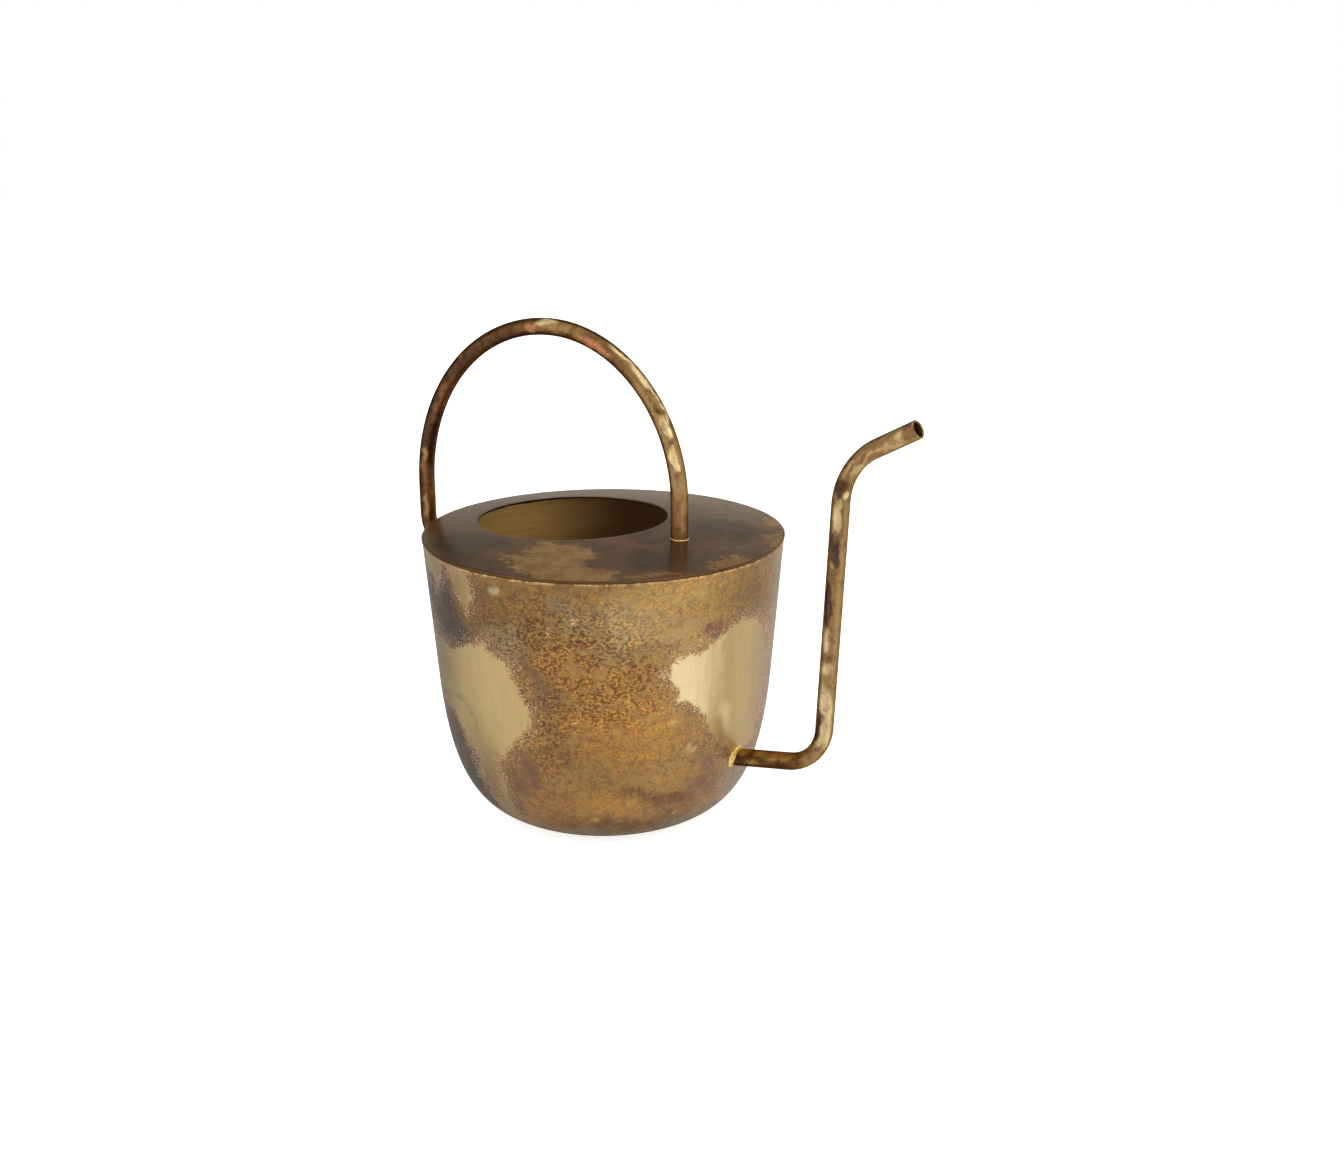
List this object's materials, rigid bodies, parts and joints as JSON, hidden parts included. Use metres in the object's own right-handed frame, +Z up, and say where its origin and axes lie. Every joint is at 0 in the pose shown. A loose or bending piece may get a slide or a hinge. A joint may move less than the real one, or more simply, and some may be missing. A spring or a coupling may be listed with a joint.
{
  "type": "watering can",
  "caption": "Indoor brass watering can: spun bowl body, slightly crowned, soldered top with an off-centre filling hole, tall hoop handle and thin goose-neck spout from the lower wall.",
  "frame": {"origin": "centre of the flat base, on the surface the can stands on", "axes": "+Z up along the bowl's axis; +X towards the spout; the handle and the spout lie in the plane Y = 0"},
  "size_m": [0.2491, 0.1504, 0.2056],
  "materials": {
    "body_brass": "antique brass, mottled brown patina with bare satin patches",
    "plate_brass": "antique brass, dark olive-brown, semi-gloss, brushed",
    "handle_brass": "antique brass tube, dark coppery brown with gold patches",
    "spout_brass": "antique brass tube, pale khaki with brown stains",
    "solder": "bright brazing alloy, filed and lightly tarnished"
  },
  "bodies": {
    "root": {"body_shell": "body_brass", "top_plate": "plate_brass", "plate_seam_solder": "solder", "handle_tube": "handle_brass", "handle_front_solder": "solder", "handle_rear_solder": "solder", "spout_tube": "spout_brass", "spout_root_solder": "solder"}
  },
  "joints": []
}
